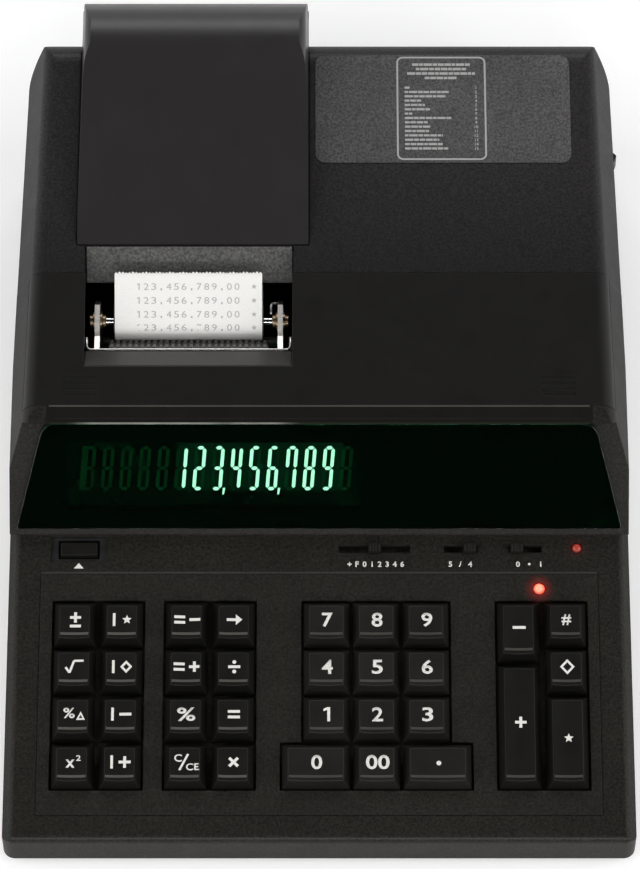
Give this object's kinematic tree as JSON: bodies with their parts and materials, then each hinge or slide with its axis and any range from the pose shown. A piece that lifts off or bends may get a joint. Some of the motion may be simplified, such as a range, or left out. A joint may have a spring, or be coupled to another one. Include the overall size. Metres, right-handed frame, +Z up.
{
  "type": "printing calculator",
  "caption": "Desk printing calculator with a sloping keyboard, slanted green display window, drum printer under a lift-off cover and a hinged paper roll cover.",
  "frame": {"origin": "on the table, under the middle of the overall box", "axes": "+X to the user's right, +Y from the keyboard to the back, +Z up"},
  "size_m": [0.2404, 0.337, 0.1048],
  "materials": {
    "case": "fine grained charcoal moulding",
    "base": "dark moulded plastic",
    "panel": "grained charcoal panel",
    "cover": "fine grained black moulding",
    "key": "satin near-black key plastic",
    "slider": "satin near-black plastic",
    "rocker": "black plastic",
    "board": "green circuit board",
    "tear_bar": "coarse grained grey plastic",
    "lens": "polished dark green acrylic",
    "tube": "dark glass",
    "steel": "pressed sheet steel",
    "platen_rubber": "ground rubber",
    "drum": "moulded type wheels",
    "ink": "inked foam",
    "motor": "plated motor can",
    "brass": "machined brass",
    "paper": "white bond paper",
    "gland": "black rubber",
    "foot_rubber": "black rubber",
    "screw": "zinc plated steel"
  },
  "bodies": {
    "case": {"top_case": "case", "base_pan": "base", "keyboard_panel": "panel", "keyboard_board": "board", "main_board": "board", "tear_bar": "tear_bar", "display_lens": "lens", "display_tube": "tube", "printer_frame": "steel", "printer_motor": "motor", "paper_strip": "paper", "cord_gland": "gland", "feet": "foot_rubber", "screws": "screw"},
    "printer_cover": {"printer_cover": "cover"},
    "paper_cover": {"paper_cover": "cover"},
    "platen": {"platen": "platen_rubber"},
    "type_drum": {"type_drum": "drum"},
    "ink_roller": {"ink_roller": "ink"},
    "motor_pinion": {"motor_pinion": "brass"},
    "paper_roll": {"paper_roll": "paper"},
    "power_rocker": {"power_rocker": "rocker"},
    "key_feed": {"key_feed": "key"},
    "decimal_slider": {"decimal_slider": "slider"},
    "rounding_slider": {"rounding_slider": "slider"},
    "total_slider": {"total_slider": "slider"},
    "key_f1": {"key_f1": "key"},
    "key_f2": {"key_f2": "key"},
    "key_f3": {"key_f3": "key"},
    "key_f4": {"key_f4": "key"},
    "key_m_total": {"key_m_total": "key"},
    "key_m_subtotal": {"key_m_subtotal": "key"},
    "key_m_minus": {"key_m_minus": "key"},
    "key_m_plus": {"key_m_plus": "key"},
    "key_equals_minus": {"key_equals_minus": "key"},
    "key_equals_plus": {"key_equals_plus": "key"},
    "key_percent": {"key_percent": "key"},
    "key_clear": {"key_clear": "key"},
    "key_backspace": {"key_backspace": "key"},
    "key_divide": {"key_divide": "key"},
    "key_equals": {"key_equals": "key"},
    "key_multiply": {"key_multiply": "key"},
    "key_7": {"key_7": "key"},
    "key_4": {"key_4": "key"},
    "key_1": {"key_1": "key"},
    "key_8": {"key_8": "key"},
    "key_5": {"key_5": "key"},
    "key_2": {"key_2": "key"},
    "key_00": {"key_00": "key"},
    "key_9": {"key_9": "key"},
    "key_6": {"key_6": "key"},
    "key_3": {"key_3": "key"},
    "key_0": {"key_0": "key"},
    "key_point": {"key_point": "key"},
    "key_minus": {"key_minus": "key"},
    "key_plus": {"key_plus": "key"},
    "key_ref": {"key_ref": "key"},
    "key_subtotal": {"key_subtotal": "key"},
    "key_total": {"key_total": "key"}
  },
  "joints": [
    {"name": "printer_cover_lift", "type": "slide", "parent": "case", "child": "printer_cover", "axis": [0, -0.1045, 0.9945], "range_m": [0, 0.06]},
    {"name": "paper_cover_hinge", "type": "hinge", "parent": "case", "child": "paper_cover", "pos_m": [-0.051, 0.166, 0.08483], "axis": [-1, 0, 0], "range_deg": [0, 75]},
    {"name": "paper_roll_spin", "type": "hinge", "parent": "case", "child": "paper_roll", "pos_m": [-0.051, 0.1185, 0.045], "axis": [1, 0, 0], "continuous": true},
    {"name": "platen_spin", "type": "hinge", "parent": "case", "child": "platen", "pos_m": [-0.051, 0.03701, 0.0585], "axis": [1, 0, 0], "continuous": true},
    {"name": "type_drum_spin", "type": "hinge", "parent": "case", "child": "type_drum", "pos_m": [-0.051, 0.02151, 0.053], "axis": [1, 0, 0], "continuous": true},
    {"name": "ink_roller_spin", "type": "hinge", "parent": "case", "child": "ink_roller", "pos_m": [-0.051, 0.00671, 0.0585], "axis": [1, 0, 0], "continuous": true},
    {"name": "motor_pinion_spin", "type": "hinge", "parent": "case", "child": "motor_pinion", "pos_m": [-0.01, 0.01466, 0.04113], "axis": [1, 0, 0], "continuous": true},
    {"name": "power_rocker_tilt", "type": "hinge", "parent": "case", "child": "power_rocker", "pos_m": [0.1132, 0.1214, 0.03596], "axis": [-0.0105, -0.0002, 0.9999], "range_deg": [0, 20]},
    {"name": "decimal_slide", "type": "slide", "parent": "case", "child": "decimal_slider", "axis": [1, 0, 0], "range_m": [-0.0111, 0.0109]},
    {"name": "rounding_slide", "type": "slide", "parent": "case", "child": "rounding_slider", "axis": [1, 0, 0], "range_m": [-0.0071, 0]},
    {"name": "total_slide", "type": "slide", "parent": "case", "child": "total_slider", "axis": [1, 0, 0], "range_m": [0, 0.0069]},
    {"name": "key_feed_press", "type": "slide", "parent": "case", "child": "key_feed", "axis": [0, 0.1392, -0.9903], "range_m": [0, 0.0018], "stiffness_N_per_m": 150},
    {"name": "key_f1_press", "type": "slide", "parent": "case", "child": "key_f1", "axis": [0, 0.1392, -0.9903], "range_m": [0, 0.0035], "stiffness_N_per_m": 150},
    {"name": "key_f2_press", "type": "slide", "parent": "case", "child": "key_f2", "axis": [0, 0.1392, -0.9903], "range_m": [0, 0.0035], "stiffness_N_per_m": 150},
    {"name": "key_f3_press", "type": "slide", "parent": "case", "child": "key_f3", "axis": [0, 0.1392, -0.9903], "range_m": [0, 0.0035], "stiffness_N_per_m": 150},
    {"name": "key_f4_press", "type": "slide", "parent": "case", "child": "key_f4", "axis": [0, 0.1392, -0.9903], "range_m": [0, 0.0035], "stiffness_N_per_m": 150},
    {"name": "key_m_total_press", "type": "slide", "parent": "case", "child": "key_m_total", "axis": [0, 0.1392, -0.9903], "range_m": [0, 0.0035], "stiffness_N_per_m": 150},
    {"name": "key_m_subtotal_press", "type": "slide", "parent": "case", "child": "key_m_subtotal", "axis": [0, 0.1392, -0.9903], "range_m": [0, 0.0035], "stiffness_N_per_m": 150},
    {"name": "key_m_minus_press", "type": "slide", "parent": "case", "child": "key_m_minus", "axis": [0, 0.1392, -0.9903], "range_m": [0, 0.0035], "stiffness_N_per_m": 150},
    {"name": "key_m_plus_press", "type": "slide", "parent": "case", "child": "key_m_plus", "axis": [0, 0.1392, -0.9903], "range_m": [0, 0.0035], "stiffness_N_per_m": 150},
    {"name": "key_equals_minus_press", "type": "slide", "parent": "case", "child": "key_equals_minus", "axis": [0, 0.1392, -0.9903], "range_m": [0, 0.0035], "stiffness_N_per_m": 150},
    {"name": "key_equals_plus_press", "type": "slide", "parent": "case", "child": "key_equals_plus", "axis": [0, 0.1392, -0.9903], "range_m": [0, 0.0035], "stiffness_N_per_m": 150},
    {"name": "key_percent_press", "type": "slide", "parent": "case", "child": "key_percent", "axis": [0, 0.1392, -0.9903], "range_m": [0, 0.0035], "stiffness_N_per_m": 150},
    {"name": "key_clear_press", "type": "slide", "parent": "case", "child": "key_clear", "axis": [0, 0.1392, -0.9903], "range_m": [0, 0.0035], "stiffness_N_per_m": 150},
    {"name": "key_backspace_press", "type": "slide", "parent": "case", "child": "key_backspace", "axis": [0, 0.1392, -0.9903], "range_m": [0, 0.0035], "stiffness_N_per_m": 150},
    {"name": "key_divide_press", "type": "slide", "parent": "case", "child": "key_divide", "axis": [0, 0.1392, -0.9903], "range_m": [0, 0.0035], "stiffness_N_per_m": 150},
    {"name": "key_equals_press", "type": "slide", "parent": "case", "child": "key_equals", "axis": [0, 0.1392, -0.9903], "range_m": [0, 0.0035], "stiffness_N_per_m": 150},
    {"name": "key_multiply_press", "type": "slide", "parent": "case", "child": "key_multiply", "axis": [0, 0.1392, -0.9903], "range_m": [0, 0.0035], "stiffness_N_per_m": 150},
    {"name": "key_7_press", "type": "slide", "parent": "case", "child": "key_7", "axis": [0, 0.1392, -0.9903], "range_m": [0, 0.0035], "stiffness_N_per_m": 150},
    {"name": "key_4_press", "type": "slide", "parent": "case", "child": "key_4", "axis": [0, 0.1392, -0.9903], "range_m": [0, 0.0035], "stiffness_N_per_m": 150},
    {"name": "key_1_press", "type": "slide", "parent": "case", "child": "key_1", "axis": [0, 0.1392, -0.9903], "range_m": [0, 0.0035], "stiffness_N_per_m": 150},
    {"name": "key_8_press", "type": "slide", "parent": "case", "child": "key_8", "axis": [0, 0.1392, -0.9903], "range_m": [0, 0.0035], "stiffness_N_per_m": 150},
    {"name": "key_5_press", "type": "slide", "parent": "case", "child": "key_5", "axis": [0, 0.1392, -0.9903], "range_m": [0, 0.0035], "stiffness_N_per_m": 150},
    {"name": "key_2_press", "type": "slide", "parent": "case", "child": "key_2", "axis": [0, 0.1392, -0.9903], "range_m": [0, 0.0035], "stiffness_N_per_m": 150},
    {"name": "key_00_press", "type": "slide", "parent": "case", "child": "key_00", "axis": [0, 0.1392, -0.9903], "range_m": [0, 0.0035], "stiffness_N_per_m": 150},
    {"name": "key_9_press", "type": "slide", "parent": "case", "child": "key_9", "axis": [0, 0.1392, -0.9903], "range_m": [0, 0.0035], "stiffness_N_per_m": 150},
    {"name": "key_6_press", "type": "slide", "parent": "case", "child": "key_6", "axis": [0, 0.1392, -0.9903], "range_m": [0, 0.0035], "stiffness_N_per_m": 150},
    {"name": "key_3_press", "type": "slide", "parent": "case", "child": "key_3", "axis": [0, 0.1392, -0.9903], "range_m": [0, 0.0035], "stiffness_N_per_m": 150},
    {"name": "key_0_press", "type": "slide", "parent": "case", "child": "key_0", "axis": [0, 0.1392, -0.9903], "range_m": [0, 0.0035], "stiffness_N_per_m": 150},
    {"name": "key_point_press", "type": "slide", "parent": "case", "child": "key_point", "axis": [0, 0.1392, -0.9903], "range_m": [0, 0.0035], "stiffness_N_per_m": 150},
    {"name": "key_minus_press", "type": "slide", "parent": "case", "child": "key_minus", "axis": [0, 0.1392, -0.9903], "range_m": [0, 0.0035], "stiffness_N_per_m": 150},
    {"name": "key_plus_press", "type": "slide", "parent": "case", "child": "key_plus", "axis": [0, 0.1392, -0.9903], "range_m": [0, 0.0035], "stiffness_N_per_m": 150},
    {"name": "key_ref_press", "type": "slide", "parent": "case", "child": "key_ref", "axis": [0, 0.1392, -0.9903], "range_m": [0, 0.0035], "stiffness_N_per_m": 150},
    {"name": "key_subtotal_press", "type": "slide", "parent": "case", "child": "key_subtotal", "axis": [0, 0.1392, -0.9903], "range_m": [0, 0.0035], "stiffness_N_per_m": 150},
    {"name": "key_total_press", "type": "slide", "parent": "case", "child": "key_total", "axis": [0, 0.1392, -0.9903], "range_m": [0, 0.0035], "stiffness_N_per_m": 150}
  ],
  "couplings": [
    {"joint": "platen_spin", "follows": "paper_roll_spin", "ratio": 4.8571},
    {"joint": "ink_roller_spin", "follows": "type_drum_spin", "ratio": -1.2143},
    {"joint": "motor_pinion_spin", "follows": "type_drum_spin", "ratio": -2.4}
  ]
}
